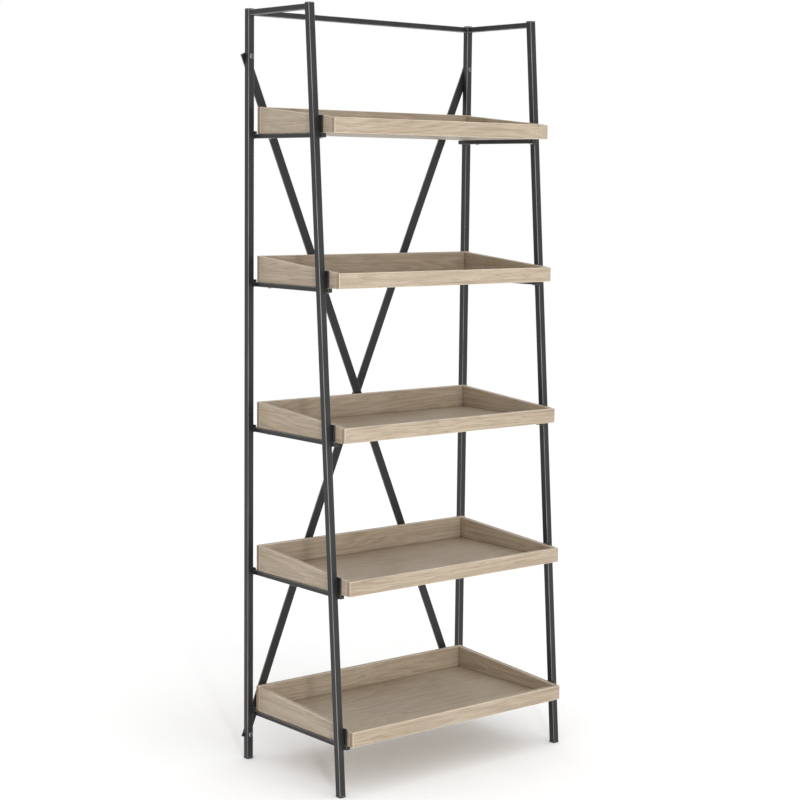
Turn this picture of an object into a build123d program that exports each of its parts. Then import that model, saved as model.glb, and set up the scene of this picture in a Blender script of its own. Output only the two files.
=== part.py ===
"""Ladder shelf: a black tube frame with a leaning front that carries wooden trays.

Millimetres, +X to the right, -Y to the front, +Z up, origin on the floor below the
middle of the whole shelf.
"""
from build123d import *
import os

os.makedirs("parts", exist_ok=True)

# ---- frame -------------------------------------------------------------------
HEIGHT = 1800.0            # floor to the top of the post caps
WIDTH = 700.0              # over the outer faces of the posts
TUBE = 16.5                # square tube of the posts
TUBE_WALL = 1.2
TUBE_ROUND = 1.5           # outer corner radius of the tube
DEPTH_AT_FLOOR = 383.6     # rear face of the back posts to front face of the front posts
DEPTH_AT_TOP = 248.0
TOP_RAIL = 13.0            # the top rails are a little thinner than the posts
TOP_RAIL_DROP = 3.0        # post tops stand this far above the top rails
CAP = 2.0
CAP_PLUG = 11.0
CAP_PLUG_LENGTH = 10.0
FOOT = 4.0

# ---- rear cross brace ----------------------------------------------------------
BRACE_WIDTH = 22.5
BRACE_THICK = 3.0
BRACE_HIGH = 1680.0        # where a bar's centre line crosses the middle of a post
BRACE_LOW = 58.0
BRACE_END_HIGH = 20.0      # bar beyond the upper crossing
BRACE_END_LOW = 8.0        # bar beyond the lower crossing
BRACE_FLAT = 32.0          # straight stretch inside that crossing before the rear bar bows
BRACE_BOW = 12.0           # the rear bar springs out this far to pass the front bar
BOLT_HIGH = BRACE_HIGH + 10.0     # the upper bolts sit towards the ends of the bars
BOLT_LOW = BRACE_LOW + 3.0
BOLT_R = 3.0
BOLT_HOLE_R = 3.3
HEAD_R = 5.0
HEAD_H = 3.0
NUT_R = 5.5
NUT_H = 5.0

# ---- trays ---------------------------------------------------------------------
TRAY_WIDTH = 660.0
TRAY_DEPTHS = (296.0, 317.0, 341.0, 364.0, 379.0)    # top tray first
TRAY_LOWEST = 120.0
TRAY_PITCH = 347.5
TRAY_BACK_GAP = 24.0       # rear face of the back posts to the back of a tray
BOARD = 12.0
PANEL = 9.0
BACK_HEIGHT = 63.0
LIP_HEIGHT = 35.0
BOARD_ROUND = 1.0

# ---- tray rails and stops --------------------------------------------------------
RAIL_WIDTH = 12.0
RAIL_HEIGHT = 10.0
RAIL_WALL = 1.2
RAIL_NOSE = 8.0            # rail beyond the front face of the front post
STOP_THICK = 3.0
STOP_HEIGHT = 40.0
STOP_NOSE = 11.0           # upright stop beyond the front post
STOP_REACH = 9.0           # upright stop alongside the front post
BACK_STOP_HEIGHT = 7.0
SCREW_R = 2.0
SCREW_HOLE_R = 2.2
SCREW_HEAD_R = 4.0
SCREW_HEAD_H = 2.2
SCREW_DEPTH = 14.0         # screw above the rail
SCREW_BACK_INSET = 45.0    # rear screw from the back of the tray
SCREW_FRONT_INSET = 55.0   # front screw from the front of the tray, behind the front post

# ---- derived -----------------------------------------------------------------------
OVERALL_DEPTH = BRACE_BOW + BRACE_THICK + TRAY_BACK_GAP + TRAY_DEPTHS[-1]
REAR = OVERALL_DEPTH / 2 - BRACE_BOW - BRACE_THICK     # rear face of the back posts
POST_X = (WIDTH - TUBE) / 2
POST_TOP = HEIGHT - CAP
INNER_FACE = WIDTH / 2 - TUBE
RAIL_X = INNER_FACE - RAIL_WIDTH / 2
SCREW_X = (INNER_FACE - RAIL_WIDTH + TRAY_WIDTH / 2) / 2     # middle of the strip where board and rail meet
TRAY_BACK = REAR - TRAY_BACK_GAP
TRAYS = range(1, len(TRAY_DEPTHS) + 1)
SIDES = (("left", -1), ("right", 1))


def front_face(z):
    """Y of the front face of the leaning front posts at height z."""
    return REAR - DEPTH_AT_FLOOR + (DEPTH_AT_FLOOR - DEPTH_AT_TOP) * z / HEIGHT


def tray_z(number):
    """Height of the underside of a tray, counted from the top tray."""
    return TRAY_LOWEST + TRAY_PITCH * (len(TRAY_DEPTHS) - number)


def tray_front(number):
    """Y of the front face of a tray."""
    return TRAY_BACK - TRAY_DEPTHS[number - 1]


def screw_rows(number):
    """Y of the two screws that hold a tray on each rail."""
    return (TRAY_BACK - SCREW_BACK_INSET, tray_front(number) + SCREW_FRONT_INSET)


def save(part, name):
    """Label a finished piece and write it as a STEP file of that name."""
    part.label = name
    export_step(part, f"parts/{name}.step")


def leaning_outline(inset, low, high):
    """Side outline of a front post, narrowed by an inset on each face."""
    return [
        (front_face(low) + inset, low),
        (front_face(low) + TUBE - inset, low),
        (front_face(high) + TUBE - inset, high),
        (front_face(high) + inset, high),
    ]


# ---- posts ---------------------------------------------------------------------------
for side, sign in SIDES:
    with BuildPart() as back_post:
        with BuildSketch(Plane.XY.offset(FOOT)):
            with Locations((sign * POST_X, REAR - TUBE / 2)):
                RectangleRounded(TUBE, TUBE, TUBE_ROUND)
                Rectangle(TUBE - 2 * TUBE_WALL, TUBE - 2 * TUBE_WALL, mode=Mode.SUBTRACT)
        extrude(amount=POST_TOP - FOOT)
        for height in (BOLT_LOW, BOLT_HIGH):
            with BuildSketch(Plane.XZ.offset(-REAR)):
                with Locations((sign * POST_X, height)):
                    Circle(BOLT_HOLE_R)
            extrude(amount=TUBE, mode=Mode.SUBTRACT)
    save(back_post.part, f"{side}_back_post")

    with BuildPart() as front_post:
        with BuildSketch(Plane.YZ.offset(sign * POST_X)):
            Polygon(*leaning_outline(0, FOOT, POST_TOP), align=None)
        extrude(amount=TUBE / 2, both=True)
        long_edges = front_post.edges().filter_by(lambda edge: edge.length > HEIGHT / 2)
        fillet(long_edges, TUBE_ROUND)
        with BuildSketch(Plane.YZ.offset(sign * POST_X)):
            Polygon(*leaning_outline(TUBE_WALL, 0, HEIGHT), align=None)
        extrude(amount=TUBE / 2 - TUBE_WALL, both=True, mode=Mode.SUBTRACT)
    save(front_post.part, f"{side}_front_post")

# ---- caps and feet -------------------------------------------------------------------
post_centres_top = [(sign * POST_X, REAR - TUBE / 2) for _, sign in SIDES]
post_centres_top += [(sign * POST_X, front_face(POST_TOP) + TUBE / 2) for _, sign in SIDES]
post_centres_low = [(sign * POST_X, REAR - TUBE / 2) for _, sign in SIDES]
post_centres_low += [(sign * POST_X, front_face(FOOT) + TUBE / 2) for _, sign in SIDES]

with BuildPart() as post_top_caps:
    with BuildSketch(Plane.XY.offset(POST_TOP)):
        with Locations(*post_centres_top):
            RectangleRounded(TUBE, TUBE, TUBE_ROUND)
    extrude(amount=CAP)
    chamfer(post_top_caps.faces().filter_by(Axis.Z).group_by(Axis.Z)[-1].edges(), 0.6)
    with BuildSketch(Plane.XY.offset(POST_TOP)):
        with Locations(*post_centres_top):
            Rectangle(CAP_PLUG, CAP_PLUG)
    extrude(amount=-CAP_PLUG_LENGTH)
save(post_top_caps.part, "post_top_caps")

with BuildPart() as foot_glides:
    with BuildSketch():
        with Locations(*post_centres_low):
            RectangleRounded(TUBE + 0.6, TUBE + 0.6, TUBE_ROUND)
    extrude(amount=FOOT)
    chamfer(foot_glides.faces().filter_by(Axis.Z).group_by(Axis.Z)[0].edges(), 1.0)
    with BuildSketch(Plane.XY.offset(FOOT)):
        with Locations(*post_centres_low):
            Rectangle(CAP_PLUG, CAP_PLUG)
    extrude(amount=CAP_PLUG_LENGTH)
save(foot_glides.part, "foot_glides")

# ---- top rails -------------------------------------------------------------------------
RAIL_TOP = HEIGHT - TOP_RAIL_DROP
RAIL_LOW = RAIL_TOP - TOP_RAIL
for side, sign in SIDES:
    with BuildPart() as side_top_rail:
        with BuildSketch(Plane.YZ.offset(sign * POST_X)):
            Polygon(
                (front_face(RAIL_LOW) + TUBE, RAIL_LOW),
                (REAR - TUBE, RAIL_LOW),
                (REAR - TUBE, RAIL_TOP),
                (front_face(RAIL_TOP) + TUBE, RAIL_TOP),
                align=None,
            )
        extrude(amount=TOP_RAIL / 2, both=True)
        fillet(side_top_rail.edges().filter_by(Axis.Y), TUBE_ROUND)
        with BuildSketch(Plane.XZ.offset(-REAR)):
            with Locations((sign * POST_X, (RAIL_LOW + RAIL_TOP) / 2)):
                Rectangle(TOP_RAIL - 2 * TUBE_WALL, TOP_RAIL - 2 * TUBE_WALL)
        extrude(amount=DEPTH_AT_FLOOR, mode=Mode.SUBTRACT)
    save(side_top_rail.part, f"{side}_top_rail")

with BuildPart() as back_top_rail:
    with BuildSketch(Plane.YZ.offset(-INNER_FACE)):
        with Locations((REAR - TUBE / 2, (RAIL_LOW + RAIL_TOP) / 2)):
            RectangleRounded(TOP_RAIL, TOP_RAIL, TUBE_ROUND)
            Rectangle(TOP_RAIL - 2 * TUBE_WALL, TOP_RAIL - 2 * TUBE_WALL, mode=Mode.SUBTRACT)
    extrude(amount=2 * INNER_FACE)
save(back_top_rail.part, "back_top_rail")

# ---- tray rails ---------------------------------------------------------------------------
for number in TRAYS:
    top = tray_z(number)
    nose = front_face(top) - RAIL_NOSE
    for side, sign in SIDES:
        with BuildPart() as tray_rail:
            with BuildSketch(Plane.XZ.offset(-REAR)):
                with Locations((sign * RAIL_X, top - RAIL_HEIGHT / 2)):
                    RectangleRounded(RAIL_WIDTH, RAIL_HEIGHT, 1.0)
            extrude(amount=REAR - nose)
            with BuildSketch(Plane.XZ.offset(-REAR)):
                with Locations((sign * RAIL_X, top - RAIL_HEIGHT / 2)):
                    Rectangle(RAIL_WIDTH - 2 * RAIL_WALL, RAIL_HEIGHT - 2 * RAIL_WALL)
            extrude(amount=REAR - nose - RAIL_WALL, mode=Mode.SUBTRACT)
            with BuildSketch(Plane.XY.offset(top)):
                with Locations(*[(sign * SCREW_X, y) for y in screw_rows(number)]):
                    Circle(SCREW_HOLE_R)
            extrude(amount=-RAIL_HEIGHT, mode=Mode.SUBTRACT)
        save(tray_rail.part, f"{side}_tray_rail_{number}")

# ---- tray stops: an upright tab beside each front post and a low one at each back post ----
for side, sign in SIDES:
    with BuildPart() as tray_stops:
        for number in TRAYS:
            top = tray_z(number)
            stop_front = front_face(top + STOP_HEIGHT) - STOP_NOSE
            stop_back = front_face(top) + STOP_REACH
            back_stop_front = TRAY_BACK + 1.0
            with BuildSketch(Plane.YZ.offset(sign * (INNER_FACE - STOP_THICK / 2))):
                Polygon(
                    (stop_front, top),
                    (stop_back, top),
                    (stop_back, top + STOP_HEIGHT),
                    (stop_front, top + STOP_HEIGHT),
                    align=None,
                )
                Polygon(
                    (back_stop_front, top),
                    (REAR - TUBE / 2, top),
                    (REAR - TUBE / 2, top + BACK_STOP_HEIGHT),
                    (back_stop_front, top + BACK_STOP_HEIGHT),
                    align=None,
                )
            extrude(amount=STOP_THICK / 2, both=True)
    save(tray_stops.part, f"{side}_tray_stops")

# ---- trays ---------------------------------------------------------------------------------
for number in TRAYS:
    base = tray_z(number)
    back_y = TRAY_BACK
    front_y = tray_front(number)
    inside = TRAY_WIDTH / 2 - BOARD
    drop = (BACK_HEIGHT - LIP_HEIGHT) / (TRAY_DEPTHS[number - 1])

    for name, y, height in (("back", back_y, BACK_HEIGHT), ("front", front_y + BOARD, LIP_HEIGHT)):
        with BuildPart() as cross_board:
            with BuildSketch(Plane.XY.offset(base)):
                with Locations((0, y - BOARD / 2)):
                    Rectangle(TRAY_WIDTH, BOARD)
            extrude(amount=height)
            fillet(cross_board.edges(), BOARD_ROUND)
        save(cross_board.part, f"tray_{number}_{name}")

    rear_height = BACK_HEIGHT - drop * BOARD
    fore_height = LIP_HEIGHT + drop * BOARD
    for side, sign in SIDES:
        with BuildPart() as side_board:
            with BuildSketch(Plane.YZ.offset(sign * (TRAY_WIDTH / 2 - BOARD / 2))):
                Polygon(
                    (front_y + BOARD, base),
                    (back_y - BOARD, base),
                    (back_y - BOARD, base + rear_height),
                    (front_y + BOARD, base + fore_height),
                    align=None,
                )
            extrude(amount=BOARD / 2, both=True)
            long_edges = side_board.edges().filter_by(lambda edge: edge.length > TRAY_DEPTHS[0] / 2)
            fillet(long_edges, BOARD_ROUND)
            with BuildSketch(Plane.XY.offset(base)):
                with Locations(*[(sign * SCREW_X, y) for y in screw_rows(number)]):
                    Circle(SCREW_HOLE_R)
            extrude(amount=SCREW_DEPTH, mode=Mode.SUBTRACT)
        save(side_board.part, f"tray_{number}_{side}")

    with BuildPart() as bottom_panel:
        with BuildSketch(Plane.XY.offset(base)):
            with Locations((0, (back_y + front_y) / 2)):
                Rectangle(2 * inside, TRAY_DEPTHS[number - 1] - 2 * BOARD)
        extrude(amount=PANEL)
    save(bottom_panel.part, f"tray_{number}_bottom")

# ---- tray screws -----------------------------------------------------------------------------
with BuildPart() as tray_screws:
    for number in TRAYS:
        spots = [(sign * SCREW_X, y) for _, sign in SIDES for y in screw_rows(number)]
        with BuildSketch(Plane.XY.offset(tray_z(number) - RAIL_HEIGHT)):
            with Locations(*spots):
                Circle(SCREW_HEAD_R)
        extrude(amount=-SCREW_HEAD_H)
        with BuildSketch(Plane.XY.offset(tray_z(number) - RAIL_HEIGHT)):
            with Locations(*spots):
                Circle(SCREW_R)
        extrude(amount=RAIL_HEIGHT + SCREW_DEPTH - 1)
save(tray_screws.part, "tray_screws")

# ---- rear cross brace ----------------------------------------------------------------------------
crossing_high = Vector(POST_X, REAR, BRACE_HIGH)
crossing_low = Vector(-POST_X, REAR, BRACE_LOW)
brace_middle = (crossing_high + crossing_low) * 0.5
HALF_SPAN = (crossing_high - crossing_low).length / 2
HIGH_END = HALF_SPAN + BRACE_END_HIGH
LOW_END = HALF_SPAN + BRACE_END_LOW
HALF_BOW = HALF_SPAN - BRACE_FLAT


def brace_plane(sign):
    """Plane through a bar's length and the Y axis, centred where the bars cross."""
    along = Vector(sign * POST_X * 2, 0, BRACE_HIGH - BRACE_LOW).normalized()
    return Plane(origin=brace_middle, x_dir=along, z_dir=along.cross(Vector(0, 1, 0)))


def bolt_spots_of(sign):
    """X and Z of the two bolts of a bar."""
    return ((sign * POST_X, BOLT_HIGH), (-sign * POST_X, BOLT_LOW))


with BuildPart() as front_brace:
    with BuildSketch(brace_plane(-1)):
        with Locations(((HIGH_END - LOW_END) / 2, 0)):
            Rectangle(HIGH_END + LOW_END, BRACE_THICK, align=(Align.CENTER, Align.MIN))
    extrude(amount=BRACE_WIDTH / 2, both=True)
    with BuildSketch(Plane.XZ.offset(-REAR - 2 * BRACE_THICK)):
        with Locations(*bolt_spots_of(-1)):
            Circle(BOLT_HOLE_R)
    extrude(amount=3 * BRACE_THICK, mode=Mode.SUBTRACT)
save(front_brace.part, "front_brace")

with BuildPart() as rear_brace:
    with BuildSketch(brace_plane(1)):
        with BuildLine():
            Line((-LOW_END, 0), (-HALF_BOW, 0))
            ThreePointArc((-HALF_BOW, 0), (0, BRACE_BOW), (HALF_BOW, 0))
            Line((HALF_BOW, 0), (HIGH_END, 0))
            Line((HIGH_END, 0), (HIGH_END, BRACE_THICK))
            Line((HIGH_END, BRACE_THICK), (HALF_BOW, BRACE_THICK))
            ThreePointArc((HALF_BOW, BRACE_THICK), (0, BRACE_BOW + BRACE_THICK), (-HALF_BOW, BRACE_THICK))
            Line((-HALF_BOW, BRACE_THICK), (-LOW_END, BRACE_THICK))
            Line((-LOW_END, BRACE_THICK), (-LOW_END, 0))
        make_face()
    extrude(amount=BRACE_WIDTH / 2, both=True)
    with BuildSketch(Plane.XZ.offset(-REAR - 2 * BRACE_THICK)):
        with Locations(*bolt_spots_of(1)):
            Circle(BOLT_HOLE_R)
    extrude(amount=3 * BRACE_THICK, mode=Mode.SUBTRACT)
save(rear_brace.part, "rear_brace")

bolt_spots = [(sign * POST_X, z) for _, sign in SIDES for z in (BOLT_LOW, BOLT_HIGH)]
with BuildPart() as brace_bolts:
    with BuildSketch(Plane.XZ.offset(TUBE - REAR)):
        with Locations(*bolt_spots):
            Circle(HEAD_R)
    extrude(amount=HEAD_H)
    fillet(brace_bolts.faces().filter_by(Axis.Y).group_by(Axis.Y)[0].edges(), HEAD_H * 0.7)
    with BuildSketch(Plane.XZ.offset(TUBE - REAR)):
        with Locations(*bolt_spots):
            Circle(BOLT_R)
    extrude(amount=-(TUBE + BRACE_THICK + NUT_H - 1))
save(brace_bolts.part, "brace_bolts")

with BuildPart() as brace_nuts:
    with BuildSketch(Plane.XZ.offset(-REAR - BRACE_THICK)):
        with Locations(*bolt_spots):
            RegularPolygon(NUT_R, 6)
            Circle(BOLT_R, mode=Mode.SUBTRACT)
    extrude(amount=-NUT_H)
save(brace_nuts.part, "brace_nuts")
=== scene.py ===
"""Looks of the ladder shelf: powder-coated tube frame, washed oak trays, studio and camera.

Metres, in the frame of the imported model: +X right, -Y front, +Z up.
"""

import logging
import math
import random
from dataclasses import dataclass
from enum import Enum
from typing import Any, Iterable

import bmesh
import bpy
from mathutils import Matrix, Vector


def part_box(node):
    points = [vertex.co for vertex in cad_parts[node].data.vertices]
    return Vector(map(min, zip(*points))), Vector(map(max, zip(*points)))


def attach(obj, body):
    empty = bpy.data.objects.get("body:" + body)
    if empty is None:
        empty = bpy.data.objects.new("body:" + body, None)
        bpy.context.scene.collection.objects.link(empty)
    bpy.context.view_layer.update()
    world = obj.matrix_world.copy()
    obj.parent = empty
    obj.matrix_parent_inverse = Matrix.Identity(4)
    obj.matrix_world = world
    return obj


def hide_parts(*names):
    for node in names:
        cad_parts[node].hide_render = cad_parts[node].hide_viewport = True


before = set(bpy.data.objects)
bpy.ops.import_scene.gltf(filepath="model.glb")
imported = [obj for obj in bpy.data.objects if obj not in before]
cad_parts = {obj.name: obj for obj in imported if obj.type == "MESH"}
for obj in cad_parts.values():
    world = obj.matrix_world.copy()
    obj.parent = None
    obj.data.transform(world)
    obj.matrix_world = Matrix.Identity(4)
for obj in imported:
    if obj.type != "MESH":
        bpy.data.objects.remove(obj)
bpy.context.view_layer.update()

LOG = logging.getLogger("ladder_shelf")
MM = 0.001
TRAY_COUNT = 5
SIDES = ("left", "right")
BOARDS = ("bottom", "back", "front", "left", "right")
BODY = "root"
UPRIGHT = Matrix.Identity(4)
UP_TO_FRONT = Matrix.Rotation(math.pi / 2, 4, "X")
UP_TO_DOWN = Matrix.Rotation(math.pi, 4, "X")
SHARP_ANGLE = math.radians(32)

Colour = tuple[float, float, float]
EVEN = (1.0, 1.0, 1.0)


# ---- shader building ---------------------------------------------------------------


class Sock:
    """A socket that can be used in a Python expression."""

    def __init__(self, shader: "Shader", socket: bpy.types.NodeSocket) -> None:
        """Keep the shader that owns the socket.

        Args:
            shader: the material being built.
            socket: the output socket that holds the value.
        """
        self.shader = shader
        self.socket = socket

    def combine(self, operation: str, *values: Any) -> "Sock":
        """Add one Math node.

        Args:
            operation: the node's operation.
            values: its inputs in order, as numbers or Socks.

        Returns:
            The node's result.
        """
        return self.shader.add("ShaderNodeMath", {"operation": operation}, dict(enumerate(values)))

    def __add__(self, other: Any) -> "Sock":
        """Return self + other."""
        return self.combine("ADD", self, other)

    def __radd__(self, other: Any) -> "Sock":
        """Return other + self."""
        return self.combine("ADD", other, self)

    def __sub__(self, other: Any) -> "Sock":
        """Return self - other."""
        return self.combine("SUBTRACT", self, other)

    def __rsub__(self, other: Any) -> "Sock":
        """Return other - self."""
        return self.combine("SUBTRACT", other, self)

    def __mul__(self, other: Any) -> "Sock":
        """Return self * other."""
        return self.combine("MULTIPLY", self, other)

    def __rmul__(self, other: Any) -> "Sock":
        """Return other * self."""
        return self.combine("MULTIPLY", other, self)

    def maximum(self, other: Any) -> "Sock":
        """Return the larger of self and other."""
        return self.combine("MAXIMUM", self, other)

    def fraction(self) -> "Sock":
        """Return the part after the decimal point."""
        return self.combine("FRACT", self)

    def ramp(self, low: float, high: float, to_low: float = 0.0, to_high: float = 1.0) -> "Sock":
        """Remap the value smoothly.

        Args:
            low: value that becomes to_low.
            high: value that becomes to_high.
            to_low: result at low.
            to_high: result at high.

        Returns:
            The remapped value.
        """
        values = {0: self, 1: low, 2: high, 3: to_low, 4: to_high}
        return self.shader.add("ShaderNodeMapRange", {"interpolation_type": "SMOOTHSTEP"}, values)


class Shader:
    """One material and the nodes in it."""

    def __init__(self, name: str) -> None:
        """Start an empty material with a Principled shader.

        Args:
            name: the material's name.
        """
        self.material = bpy.data.materials.new(name)
        self.material.use_nodes = True
        self.tree = self.material.node_tree
        self.tree.nodes.clear()
        self.surface = self.tree.nodes.new("ShaderNodeBsdfPrincipled")
        output = self.tree.nodes.new("ShaderNodeOutputMaterial")
        self.tree.links.new(self.surface.outputs[0], output.inputs[0])
        coordinates = self.tree.nodes.new("ShaderNodeTexCoord")
        self.place = Sock(self, coordinates.outputs["Object"])
        geometry = self.tree.nodes.new("ShaderNodeNewGeometry")
        self.normal = Sock(self, geometry.outputs["Normal"])

    def feed(self, target: bpy.types.NodeSocket, value: Any) -> None:
        """Link a Sock to a socket, or set the socket's own value.

        Args:
            target: the input socket.
            value: a Sock, a number or a colour.
        """
        if isinstance(value, Sock):
            self.tree.links.new(value.socket, target)
        elif isinstance(value, tuple) and target.type == "RGBA":
            target.default_value = (*value, 1.0)
        else:
            target.default_value = value

    def add(self, kind: str, settings: dict[str, Any], values: dict[Any, Any], out: int = 0) -> Sock:
        """Add a node.

        Args:
            kind: the node's type.
            settings: its properties, set before its sockets.
            values: numbers, colours or Socks by socket name or number.
            out: which output to return.

        Returns:
            The chosen output.
        """
        node = self.tree.nodes.new(kind)
        for key, value in settings.items():
            setattr(node, key, value)
        for key, value in values.items():
            self.feed(node.inputs[key], value)
        return Sock(self, node.outputs[out])

    def stretch(self, scale: Colour, shift: Colour = (0.0, 0.0, 0.0)) -> Sock:
        """Return object coordinates scaled along each axis and shifted."""
        return self.add("ShaderNodeMapping", {}, {"Vector": self.place, "Scale": scale, "Location": shift})

    def noise(self, vector: Sock, scale: float, detail: float = 3.0, twist: float = 0.0) -> Sock:
        """Add a fractal noise.

        Args:
            vector: where it is read.
            scale: its features per unit of the vector.
            detail: how many finer octaves it has.
            twist: how much it is distorted.

        Returns:
            The noise value.
        """
        values = {"Vector": vector, "Scale": scale, "Detail": detail, "Distortion": twist}
        return self.add("ShaderNodeTexNoise", {}, values)

    def mix(self, factor: Any, first: Any, second: Any) -> Sock:
        """Return the colour between first, at factor 0, and second, at factor 1."""
        settings = {"data_type": "RGBA", "clamp_factor": True}
        return self.add("ShaderNodeMix", settings, {0: factor, 6: first, 7: second}, out=2)

    def normal_squares(self) -> list[Sock]:
        """Return the squares of the surface normal's X, Y and Z."""
        parts = [self.add("ShaderNodeSeparateXYZ", {}, {0: self.normal}, out=axis) for axis in range(3)]
        return [part * part for part in parts]

    def corner_mask(self) -> Sock:
        """Return 1 on the rounded corners between flat faces and 0 on the faces."""
        x, y, z = self.normal_squares()
        return x.maximum(y).maximum(z).ramp(0.97, 0.72)

    def edge_mask(self, reach: float) -> Sock:
        """Return 1 on outer edges and corners and 0 on flat faces.

        Args:
            reach: how far the mask spreads from an edge, in metres.

        Returns:
            The mask.
        """
        rounded = self.add("ShaderNodeBevel", {"samples": 6}, {"Radius": reach})
        values = {0: rounded, 1: self.normal}
        same = self.add("ShaderNodeVectorMath", {"operation": "DOT_PRODUCT"}, values, out=1)
        return same.ramp(0.99, 0.88).maximum(self.corner_mask())

    def facing(self, axis: int) -> Sock:
        """Return 1 where the surface faces along an axis and 0 elsewhere."""
        return self.normal_squares()[axis].ramp(0.75, 0.95)

    def painted_crevice_shade(self, reach: float) -> Sock:
        """Return 1 where ambient occlusion is deep, in joints and creases, and 0 on open faces, as a mask
        of painted shade.

        Args:
            reach: how far from the joint the value falls to 0, in metres.

        Returns:
            The mask.
        """
        # ambient occlusion read as shade, for painted shade in joints and creases
        shade = self.add("ShaderNodeAmbientOcclusion", {"samples": 8}, {"Distance": reach}, out=1)
        return shade.ramp(0.82, 0.35)

    def bump(self, height: Sock, strength: float, distance: float) -> None:
        """Feed the Normal from a height.

        Args:
            height: the height, about 0 to 1.
            strength: how much of the bump shows.
            distance: what a height of 1 stands for, in metres.
        """
        values = {"Height": height, "Strength": strength, "Distance": distance}
        self.feed(self.surface.inputs["Normal"], self.add("ShaderNodeBump", {}, values))

    def set(self, **values: Any) -> None:
        """Set the Principled shader's sockets, with _ in a name for a space."""
        for key, value in values.items():
            self.feed(self.surface.inputs[key.replace("_", " ")], value)


# ---- finishes ----------------------------------------------------------------------------


class Grain(Enum):
    """Which way a board's grain runs, as the number of its axis."""

    ACROSS_SHELF = 0
    FRONT_TO_BACK = 1

    def scale(self, long: float, cross: float) -> Colour:
        """Return a pattern scale that differs along and across the grain.

        Args:
            long: features per metre along the grain.
            cross: features per metre across it.

        Returns:
            The scale for each axis.
        """
        return tuple(long if axis == self.value else cross for axis in range(3))


@dataclass(frozen=True)
class WashedOak:
    """Oak with a pale wash left in the pores, rubbed back on the edges with a painted highlight laid along
    them, and painted shade in its joints and creases.
    """

    heart: Colour = (0.250, 0.188, 0.124)
    sap: Colour = (0.392, 0.309, 0.217)
    wash: Colour = (0.455, 0.392, 0.312)
    pore: Colour = (0.125, 0.087, 0.056)
    # pale cream of rubbed-back edges, also a painted highlight along the board edges
    rubbed_and_highlight: Colour = (0.72, 0.62, 0.49)
    # dark brown of the painted shade in joints and creases
    painted_crease_shade: Colour = (0.085, 0.058, 0.037)
    end_grain: Colour = (0.235, 0.170, 0.112)
    rubbed_and_highlight_reach: float = 2.6 * MM
    painted_shade_reach: float = 7.0 * MM
    rings_per_figure: float = 23.0

    def build(self, name: str, grain: Grain, seed: float) -> bpy.types.Material:
        """Build the finish for one board.

        Args:
            name: the material's name.
            grain: direction of the grain.
            seed: gives each board its own figure.

        Returns:
            The material.
        """
        shader = Shader(name)
        shift = (seed * 3.1, seed * 1.7, seed * 2.3)
        figure = shader.noise(shader.stretch(grain.scale(0.8, 11.0), shift), 1.0, 2.0, 0.3)
        rings = shader.noise(shader.stretch(grain.scale(1.9, 150.0), shift), 1.0, 4.0, 0.4)
        pores = shader.noise(shader.stretch(grain.scale(22.0, 820.0), shift), 1.0, 2.0)
        fibre = shader.noise(shader.stretch(grain.scale(9.0, 420.0), shift), 1.0, 3.0)
        cloud = shader.noise(shader.stretch((5.0, 5.0, 5.0), shift), 1.0, 3.0)
        bands = (figure * self.rings_per_figure).fraction().ramp(0.15, 0.95)
        streaks = rings * 0.8 + bands * 0.2
        open_pores = pores.ramp(0.56, 0.68) * rings.ramp(0.3, 0.65, 0.3, 1.0)
        ends = shader.facing(grain.value) * cloud.ramp(0.3, 0.7, 0.55, 0.8)
        # mask for rubbed-back edges and a painted highlight along the board edges and corners
        worn_and_highlight = shader.edge_mask(self.rubbed_and_highlight_reach) * cloud.ramp(0.3, 0.6, 0.6, 1.0)

        colour = shader.mix(streaks.ramp(0.2, 0.74), self.heart, self.sap)
        colour = shader.mix(fibre.ramp(0.35, 0.72, 0.0, 0.42), colour, self.wash)
        colour = shader.mix(cloud.ramp(0.35, 0.75, 0.0, 0.38), colour, self.wash)
        colour = shader.mix(open_pores * 0.62, colour, self.pore)
        colour = shader.mix(ends, colour, self.end_grain)
        colour = shader.mix(worn_and_highlight, colour, self.rubbed_and_highlight)
        # painted shade: joints and creases darkened from ambient occlusion
        colour = shader.mix(shader.painted_crevice_shade(self.painted_shade_reach) * 0.72, colour, self.painted_crease_shade)
        shader.set(Base_Color=colour, Roughness=cloud.ramp(0.2, 0.8, 0.36, 0.52), Specular_IOR_Level=0.5)
        shader.bump(fibre * 0.5 + rings * 0.25 - open_pores * 0.9, 0.45, 0.35 * MM)
        return shader.material


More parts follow.
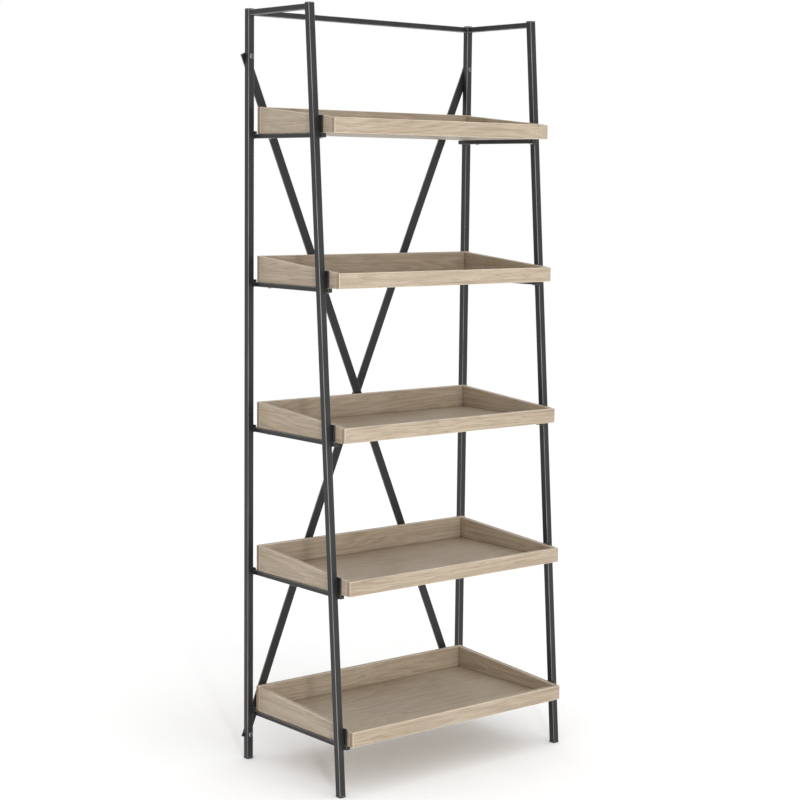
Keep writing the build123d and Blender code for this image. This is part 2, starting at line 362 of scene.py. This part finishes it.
@dataclass(frozen=True)
class PowderCoat:
    """Satin charcoal powder coat with fine orange peel, handling marks, and rubbed edges lightened partly
    as a painted highlight on the tube corners.
    """

    coat: Colour = (0.0100, 0.0100, 0.0106)
    dusty: Colour = (0.022, 0.0215, 0.021)
    # light grey on edges and tube corners: partly rubbed wear, mostly a painted highlight standing in for
    # the corner glint
    rubbed_and_highlight: Colour = (0.30, 0.30, 0.305)
    gloss: float = 0.38
    dulling: float = 0.12
    rubbed_and_highlight_reach: float = 1.0 * MM

    def build(self, name: str) -> bpy.types.Material:
        """Build the finish.

        Args:
            name: the material's name.

        Returns:
            The material.
        """
        shader = Shader(name)
        peel = shader.noise(shader.stretch(EVEN), 900.0, 2.0)
        cloud = shader.noise(shader.stretch((1.0, 1.0, 0.35)), 22.0, 4.0, 0.6)
        speck = shader.noise(shader.stretch(EVEN), 2300.0, 1.0)
        scuff = shader.noise(shader.stretch((1.0, 1.0, 0.12)), 260.0, 3.0).ramp(0.66, 0.78)
        edge = shader.edge_mask(self.rubbed_and_highlight_reach)
        colour = shader.mix(cloud.ramp(0.4, 0.8, 0.0, 0.55), self.coat, self.dusty)
        colour = shader.mix(speck.ramp(0.62, 0.74, 0.0, 0.3), colour, self.dusty)
        # edges and tube corners mixed toward the light grey: rubbed wear and a painted highlight
        colour = shader.mix(edge * cloud.ramp(0.3, 0.65, 0.5, 1.0), colour, self.rubbed_and_highlight)
        rough = cloud.ramp(0.3, 0.8, self.gloss, self.gloss + self.dulling) + scuff * 0.08 - edge * 0.14
        shader.set(Base_Color=colour, Roughness=rough, Specular_IOR_Level=0.42)
        shader.bump(peel * 0.8 + cloud * 0.3 - scuff * 0.35, 0.4, 0.3 * MM)
        return shader.material


@dataclass(frozen=True)
class BlackZinc:
    """Dark plated steel of the bolts, nuts and screws."""

    plate: Colour = (0.085, 0.085, 0.09)
    # light worn edges: wear, and a painted highlight standing in for glints on the bolt heads
    worn_and_highlight: Colour = (0.50, 0.50, 0.51)
    worn_and_highlight_reach: float = 0.4 * MM

    def build(self, name: str) -> bpy.types.Material:
        """Build the finish.

        Args:
            name: the material's name.

        Returns:
            The material.
        """
        shader = Shader(name)
        cloud = shader.noise(shader.stretch(EVEN), 300.0, 4.0)
        # edge mask for wear and a painted highlight on the fastener edges
        worn_and_highlight = shader.edge_mask(self.worn_and_highlight_reach) * cloud.ramp(0.3, 0.6, 0.3, 1.0)
        shader.set(Base_Color=shader.mix(worn_and_highlight, self.plate, self.worn_and_highlight), Metallic=0.85)
        shader.set(Roughness=cloud.ramp(0.3, 0.7, 0.28, 0.46))
        shader.bump(cloud, 0.15, 0.05 * MM)
        return shader.material


@dataclass(frozen=True)
class FootPlastic:
    """Matte moulded plastic with a fine spark-eroded grain."""

    body: Colour = (0.022, 0.022, 0.023)
    scuffed: Colour = (0.075, 0.073, 0.07)

    def build(self, name: str) -> bpy.types.Material:
        """Build the finish.

        Args:
            name: the material's name.

        Returns:
            The material.
        """
        shader = Shader(name)
        grit = shader.noise(shader.stretch(EVEN), 1700.0, 2.0)
        cloud = shader.noise(shader.stretch(EVEN), 120.0, 3.0)
        colour = shader.mix(cloud.ramp(0.45, 0.75, 0.0, 0.6), self.body, self.scuffed)
        shader.set(Base_Color=colour, Roughness=grit.ramp(0.3, 0.7, 0.55, 0.72))
        shader.bump(grit, 0.3, 0.08 * MM)
        return shader.material


# ---- mesh helpers ------------------------------------------------------------------------


def dress(node: str, material: bpy.types.Material) -> None:
    """Give a carried-over node its finish.

    Args:
        node: the node's name.
        material: its finish.
    """
    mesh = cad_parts[node].data
    mesh.materials.clear()
    mesh.materials.append(material)
    LOG.info("dressed %s with %s", node, material.name)


def publish(shape: bmesh.types.BMesh, name: str, material: bpy.types.Material,
            replaced: Iterable[str] = ()) -> None:
    """Turn a bmesh into a piece of the shelf.

    Args:
        shape: the finished bmesh, in place.
        name: the piece's name.
        material: its finish.
        replaced: the nodes that it stands for.
    """
    bmesh.ops.recalc_face_normals(shape, faces=shape.faces)
    mesh = bpy.data.meshes.new(name)
    shape.to_mesh(mesh)
    shape.free()
    mesh.materials.append(material)
    for polygon in mesh.polygons:
        polygon.use_smooth = True
    mesh.set_sharp_from_angle(angle=SHARP_ANGLE)
    piece = bpy.data.objects.new(name, mesh)
    bpy.context.scene.collection.objects.link(piece)
    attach(piece, BODY)
    if replaced:
        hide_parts(*replaced)
    LOG.info("built %s: %d faces", name, len(mesh.polygons))


def connected(start: bmesh.types.BMVert) -> set[bmesh.types.BMVert]:
    """Return every vertex that edges join to a vertex, with itself."""
    group = {start}
    queue = [start]
    while queue:
        vertex = queue.pop()
        for edge in vertex.link_edges:
            other = edge.other_vert(vertex)
            if other not in group:
                group.add(other)
                queue.append(other)
    return group


def solid_boxes(node: str) -> list[tuple[Vector, Vector]]:
    """Measure the separate solids of a node.

    Args:
        node: the node's name.

    Returns:
        The lowest and highest corner of each solid, in a fixed order.
    """
    shape = bmesh.new()
    shape.from_mesh(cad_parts[node].data)
    bmesh.ops.remove_doubles(shape, verts=shape.verts, dist=0.01 * MM)
    boxes = []
    waiting = set(shape.verts)
    for start in shape.verts:
        if start in waiting:
            group = connected(start)
            waiting -= group
            low = Vector(min(vertex.co[axis] for vertex in group) for axis in range(3))
            high = Vector(max(vertex.co[axis] for vertex in group) for axis in range(3))
            boxes.append((low, high))
    shape.free()
    return sorted(boxes, key=lambda pair: tuple(round(value, 5) for value in pair[0]))


@dataclass
class Rod:
    """A round or many-sided rod."""

    radius: float
    sides: int = 24
    taper: float = 1.0

    def build(self, shape: bmesh.types.BMesh, centre: Vector, length: float,
              turn: Matrix = UPRIGHT) -> list[bmesh.types.BMVert]:
        """Add the rod to a bmesh.

        Args:
            shape: the bmesh that takes the rod.
            centre: the rod's middle.
            length: its length.
            turn: turns +Z to the rod's own direction.

        Returns:
            The rod's vertices.
        """
        return bmesh.ops.create_cone(
            shape, cap_ends=True, segments=self.sides, radius1=self.radius,
            radius2=self.radius * self.taper, depth=length,
            matrix=Matrix.Translation(centre) @ turn)["verts"]


@dataclass
class Head:
    """A domed screw head with a drive recess, built standing on Z and then placed."""

    radius: float
    height: float
    rim: float
    sides: int = 24
    dome: float = 0.7
    recess: float = 0.55

    def crown(self, shape: bmesh.types.BMesh, verts: set[bmesh.types.BMVert]) -> list[bmesh.types.BMFace]:
        """Return the many-sided face on the upper end of the head's own vertices."""
        top = max(vertex.co.z for vertex in verts) - 0.0001 * MM
        return [face for face in shape.faces
                if len(face.verts) > 4 and all(v in verts and v.co.z > top for v in face.verts)]

    def build(self, shape: bmesh.types.BMesh, place: Matrix) -> None:
        """Add the head to a bmesh.

        Args:
            shape: the bmesh that takes the head.
            place: turns +Z to the head's outward direction and moves it there.
        """
        others = set(shape.verts)
        made = Rod(self.radius, self.sides).build(shape, Vector((0, 0, self.height / 2)), self.height)
        rim = [edge for face in self.crown(shape, set(made)) for edge in face.edges]
        bmesh.ops.bevel(shape, geom=rim, offset=self.height * self.dome, segments=4, profile=0.5,
                        affect="EDGES", material=-1)
        crown = self.crown(shape, set(shape.verts) - others)
        bmesh.ops.inset_individual(shape, faces=crown, thickness=self.rim)
        floor = bmesh.ops.extrude_discrete_faces(shape, faces=crown)["faces"]
        sunk = [vertex for face in floor for vertex in face.verts]
        bmesh.ops.translate(shape, verts=sunk, vec=(0, 0, -self.height * self.recess))
        own = [vertex for vertex in shape.verts if vertex not in others]
        bmesh.ops.transform(shape, matrix=place, verts=own)


# ---- sub-assemblies ----------------------------------------------------------------------


@dataclass
class TubeFrame:
    """Posts, top rails, tray rails, stops, caps and feet, with the welds that join them."""

    bead: float = 1.3 * MM
    bead_step: float = 1.1 * MM
    bead_flat: float = 0.95
    bead_least: float = 0.82
    bead_most: float = 1.12
    # edge colour for the weld beads in place of the painted highlight and wear, kept close to the coat
    weld_rubbed_and_highlight: Colour = (0.030, 0.030, 0.031)
    weld_seed: int = 7

    def nodes(self) -> list[str]:
        """Return the coated nodes."""
        names = ["back_top_rail", "post_top_caps"]
        for side in SIDES:
            names += [f"{side}_back_post", f"{side}_front_post", f"{side}_top_rail", f"{side}_tray_stops"]
            names += [f"{side}_tray_rail_{number}" for number in range(1, TRAY_COUNT + 1)]
        return names

    def weld_line(self, shape: bmesh.types.BMesh, start: Vector, end: Vector, draw: random.Random) -> None:
        """Lay a row of overlapping beads.

        Args:
            shape: the bmesh that takes the beads.
            start: where the row begins.
            end: where it ends.
            draw: gives the beads their uneven sizes.
        """
        turn = (end - start).normalized().to_track_quat("Z", "Y").to_matrix().to_4x4()
        flat = Matrix.Diagonal((1.0, 1.0, self.bead_flat, 1.0))
        count = max(2, int((end - start).length / self.bead_step))
        for index in range(count + 1):
            size = self.bead * draw.uniform(self.bead_least, self.bead_most)
            place = Matrix.Translation(start.lerp(end, index / count)) @ turn @ flat
            bmesh.ops.create_uvsphere(shape, u_segments=8, v_segments=5, radius=size, matrix=place)

    def post_front(self, side: str, height: float) -> float:
        """Return the Y of a front post's front face at a height."""
        low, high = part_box(f"{side}_front_post")
        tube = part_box(f"{side}_back_post")
        lean = (high.y - low.y - (tube[1].y - tube[0].y)) / (high.z - low.z)
        return low.y + lean * (height - low.z)

    def tray_rail_welds(self, shape: bmesh.types.BMesh, side: str, inner: float,
                        draw: random.Random) -> None:
        """Weld one side's tray rails to the inner faces of its posts.

        Args:
            shape: the bmesh that takes the beads.
            side: which side.
            inner: X of the posts' inner faces.
            draw: gives the beads their uneven sizes.
        """
        post_low, post_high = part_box(f"{side}_back_post")
        tube = post_high.y - post_low.y
        for number in range(1, TRAY_COUNT + 1):
            low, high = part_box(f"{side}_tray_rail_{number}")
            front = self.post_front(side, (low.z + high.z) / 2)
            for y in (front, front + tube, post_low.y):
                self.weld_line(shape, Vector((inner, y, low.z)), Vector((inner, y, high.z)), draw)
            for y in (front, post_low.y):
                self.weld_line(shape, Vector((inner, y, low.z)), Vector((inner, y + tube, low.z)), draw)

    def top_rail_welds(self, shape: bmesh.types.BMesh, side: str, inner: float,
                       draw: random.Random) -> None:
        """Weld one side's top rail and its end of the back top rail to the posts.

        Args:
            shape: the bmesh that takes the beads.
            side: which side.
            inner: X of the posts' inner faces.
            draw: gives the beads their uneven sizes.
        """
        post_low, post_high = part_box(f"{side}_back_post")
        low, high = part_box(f"{side}_top_rail")
        front = self.post_front(side, low.z) + post_high.y - post_low.y
        for y in (post_low.y, front):
            for x in (low.x, high.x):
                self.weld_line(shape, Vector((x, y, low.z)), Vector((x, y, high.z)), draw)
            self.weld_line(shape, Vector((low.x, y, low.z)), Vector((high.x, y, low.z)), draw)
        low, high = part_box("back_top_rail")
        for y in (low.y, high.y):
            self.weld_line(shape, Vector((inner, y, low.z)), Vector((inner, y, high.z)), draw)
        self.weld_line(shape, Vector((inner, low.y, low.z)), Vector((inner, high.y, low.z)), draw)

    def welds(self, material: bpy.types.Material) -> None:
        """Build the welds where the rails meet the posts, in one finish."""
        draw = random.Random(self.weld_seed)
        shape = bmesh.new()
        for side in SIDES:
            low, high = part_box(f"{side}_back_post")
            inner = high.x if side == "left" else low.x
            self.tray_rail_welds(shape, side, inner, draw)
            self.top_rail_welds(shape, side, inner, draw)
        publish(shape, "weld_beads", material)

    def build(self) -> None:
        """Dress the frame and add its welds."""
        coat = PowderCoat().build("powder_coat")
        for node in self.nodes():
            dress(node, coat)
        dress("foot_glides", FootPlastic().build("foot_plastic"))
        # welds get a darker edge colour so the painted corner highlight stays off the beads
        self.welds(PowderCoat(rubbed_and_highlight=self.weld_rubbed_and_highlight).build("powder_coat_welds"))


@dataclass
class CrossBrace:
    """The two crossing bars with their bolts and nuts."""

    head_radius: float = 5.0 * MM
    head_height: float = 3.0 * MM
    head_rim: float = 1.2 * MM
    shank_radius: float = 3.0 * MM
    washer_radius: float = 6.6 * MM
    washer: float = 0.9 * MM
    nut_round: float = 0.7 * MM
    gloss: float = 0.42

    def bolts(self, material: bpy.types.Material) -> None:
        """Build the bolts: domed heads on washers, with their shanks."""
        shape = bmesh.new()
        head = Head(self.head_radius, self.head_height - self.washer / 2, self.head_rim)
        for low, high in solid_boxes("brace_bolts"):
            centre = (low + high) / 2
            seat = low.y + self.head_height
            head.build(shape, Matrix.Translation((centre.x, seat - self.washer, centre.z)) @ UP_TO_FRONT)
            middle = Vector((centre.x, seat - self.washer / 2, centre.z))
            Rod(self.washer_radius).build(shape, middle, self.washer, UP_TO_FRONT)
            middle = Vector((centre.x, (seat + high.y) / 2, centre.z))
            Rod(self.shank_radius).build(shape, middle, high.y - seat, UP_TO_FRONT)
        publish(shape, "brace_bolt_set", material, ["brace_bolts"])

    def nuts(self, material: bpy.types.Material) -> None:
        """Build the hexagon nuts with rounded corners, on washers."""
        shape = bmesh.new()
        for low, high in solid_boxes("brace_nuts"):
            centre = (low + high) / 2
            middle = Vector((centre.x, (low.y + self.washer + high.y) / 2, centre.z))
            hexagon = Rod((high.x - low.x) / 2, sides=6)
            made = hexagon.build(shape, middle, high.y - low.y - self.washer, UP_TO_FRONT)
            edges = list({edge for vertex in made for edge in vertex.link_edges})
            bmesh.ops.bevel(shape, geom=edges, offset=self.nut_round, segments=2, profile=0.5,
                            affect="EDGES", material=-1)
            middle = Vector((centre.x, low.y + self.washer / 2, centre.z))
            Rod(self.washer_radius).build(shape, middle, self.washer, UP_TO_FRONT)
        publish(shape, "brace_nut_set", material, ["brace_nuts"])

    def build(self) -> None:
        """Dress the bars and build their fasteners."""
        coat = PowderCoat(gloss=self.gloss).build("powder_coat_bars")
        for node in ("front_brace", "rear_brace"):
            dress(node, coat)
        zinc = BlackZinc().build("black_zinc")
        self.bolts(zinc)
        self.nuts(zinc)


@dataclass
class Trays:
    """The five trays of oak boards and the screws that hold them."""

    screw_radius: float = 4.0 * MM
    screw_height: float = 2.2 * MM
    screw_rim: float = 0.96 * MM
    shank_radius: float = 2.0 * MM
    shank_taper: float = 0.6
    seeds_per_tray: float = 5.0

    def boards(self) -> None:
        """Dress each board with its own cut of oak."""
        oak = WashedOak()
        for number in range(1, TRAY_COUNT + 1):
            for index, board in enumerate(BOARDS):
                grain = Grain.FRONT_TO_BACK if board in SIDES else Grain.ACROSS_SHELF
                seed = number * self.seeds_per_tray + index
                dress(f"tray_{number}_{board}", oak.build(f"washed_oak_{number}_{board}", grain, seed))

    def screws(self) -> None:
        """Build the pan-head screws below the rails."""
        shape = bmesh.new()
        head = Head(self.screw_radius, self.screw_height, self.screw_rim, sides=16)
        shank = Rod(self.shank_radius, sides=12, taper=self.shank_taper)
        for low, high in solid_boxes("tray_screws"):
            centre = (low + high) / 2
            seat = low.z + self.screw_height
            head.build(shape, Matrix.Translation((centre.x, centre.y, seat)) @ UP_TO_DOWN)
            shank.build(shape, Vector((centre.x, centre.y, (seat + high.z) / 2)), high.z - seat)
        publish(shape, "tray_screw_set", BlackZinc().build("screw_zinc"), ["tray_screws"])

    def build(self) -> None:
        """Dress the boards and build the screws."""
        self.boards()
        self.screws()


# ---- studio ------------------------------------------------------------------------------


@dataclass(frozen=True)
class SoftBox:
    """A rectangular lamp that faces a point."""

    name: str
    place: Vector
    aim: Vector
    width: float
    height: float
    power: float

    def hang(self) -> None:
        """Put the lamp in the scene."""
        data = bpy.data.lights.new(self.name, "AREA")
        data.shape = "RECTANGLE"
        data.size, data.size_y = self.width, self.height
        data.energy = self.power
        lamp = bpy.data.objects.new(self.name, data)
        turn = (self.aim - self.place).to_track_quat("-Z", "Y").to_matrix().to_4x4()
        lamp.matrix_world = Matrix.Translation(self.place) @ turn
        bpy.context.scene.collection.objects.link(lamp)


@dataclass
class Studio:
    """Pale floor, soft light and the camera."""

    camera_place: tuple[float, float, float] = (-2.874, -3.410, 1.4066)
    camera_yaw: float = math.radians(-39.86)
    camera_pitch: float = math.radians(-6.784)
    camera_roll: float = math.radians(0.64)
    focal_length: float = 83.16
    sensor: float = 36.0
    view_reach: float = 100.0
    floor_reach: float = 40.0
    ambient: float = 0.86
    overhead_softness: float = math.radians(75.0)
    overhead_tilt: float = math.radians(14.0)
    overhead_power: float = 0.56
    overhead_height: float = 4.0

    def soft_boxes(self) -> tuple[SoftBox, SoftBox]:
        """Return the front lamp and the tall strip that glints on the tube corners."""
        middle = Vector((0.0, 0.0, 0.9))
        return (
            SoftBox("key", Vector((0.3, -4.7, 1.3)), middle, 2.2, 2.2, 54.0),
            SoftBox("glint", Vector((-2.3, -3.9, 1.5)), Vector((0.0, 0.0, 1.5)), 0.28, 3.0, 60.0),
        )

    def overhead(self) -> None:
        """Light everything from above through a wide, soft sky panel."""
        data = bpy.data.lights.new("overhead", "SUN")
        data.angle = self.overhead_softness
        data.energy = self.overhead_power
        lamp = bpy.data.objects.new("overhead", data)
        tilt = Matrix.Rotation(self.overhead_tilt, 4, "X")
        lamp.matrix_world = Matrix.Translation((0.0, 0.0, self.overhead_height)) @ tilt
        bpy.context.scene.collection.objects.link(lamp)

    def camera(self) -> None:
        """Create the camera at the front left, between the two upper trays."""
        data = bpy.data.cameras.new("camera")
        data.sensor_fit = "HORIZONTAL"
        data.sensor_width = self.sensor
        data.lens = self.focal_length
        data.clip_end = self.view_reach
        camera = bpy.data.objects.new("camera", data)
        turn = (Matrix.Rotation(self.camera_yaw, 4, "Z")
                @ Matrix.Rotation(math.pi / 2 + self.camera_pitch, 4, "X")
                @ Matrix.Rotation(self.camera_roll, 4, "Z"))
        camera.matrix_world = Matrix.Translation(self.camera_place) @ turn
        bpy.context.scene.collection.objects.link(camera)
        bpy.context.scene.camera = camera

    def sky(self) -> None:
        """Light the scene evenly from all sides, in front of a white backdrop."""
        world = bpy.data.worlds.new("studio")
        world.use_nodes = True
        background = world.node_tree.nodes["Background"]
        background.inputs["Color"].default_value = (1.0, 1.0, 1.0, 1.0)
        path = world.node_tree.nodes.new("ShaderNodeLightPath")
        level = world.node_tree.nodes.new("ShaderNodeMapRange")
        level.inputs["To Min"].default_value = self.ambient
        world.node_tree.links.new(path.outputs["Is Camera Ray"], level.inputs["Value"])
        world.node_tree.links.new(level.outputs[0], background.inputs["Strength"])
        bpy.context.scene.world = world
        bpy.context.scene.view_settings.view_transform = "Standard"

    def floor(self) -> None:
        """Lay the floor."""
        shape = bmesh.new()
        bmesh.ops.create_grid(shape, x_segments=2, y_segments=2, size=self.floor_reach)
        mesh = bpy.data.meshes.new("floor")
        shape.to_mesh(mesh)
        shape.free()
        shader = Shader("studio_floor")
        cloud = shader.noise(shader.stretch(EVEN), 3.0, 3.0)
        paint = shader.mix(cloud.ramp(0.3, 0.7), (0.975, 0.975, 0.975), (0.99, 0.99, 0.99))
        shader.set(Base_Color=paint, Roughness=0.9, Specular_IOR_Level=0.1)
        mesh.materials.append(shader.material)
        floor = bpy.data.objects.new("floor", mesh)
        bpy.context.scene.collection.objects.link(floor)

    def build(self) -> None:
        """Set up the whole studio."""
        self.sky()
        for soft_box in self.soft_boxes():
            soft_box.hang()
        self.overhead()
        self.floor()
        self.camera()


def main() -> None:
    """Build the shelf's looks and the studio."""
    logging.basicConfig(level=logging.INFO, format="%(message)s")
    for part in (TubeFrame(), CrossBrace(), Trays(), Studio()):
        part.build()
        LOG.info("finished %s", type(part).__name__)
    bpy.context.view_layer.update()


if __name__ == "__main__":
    main()
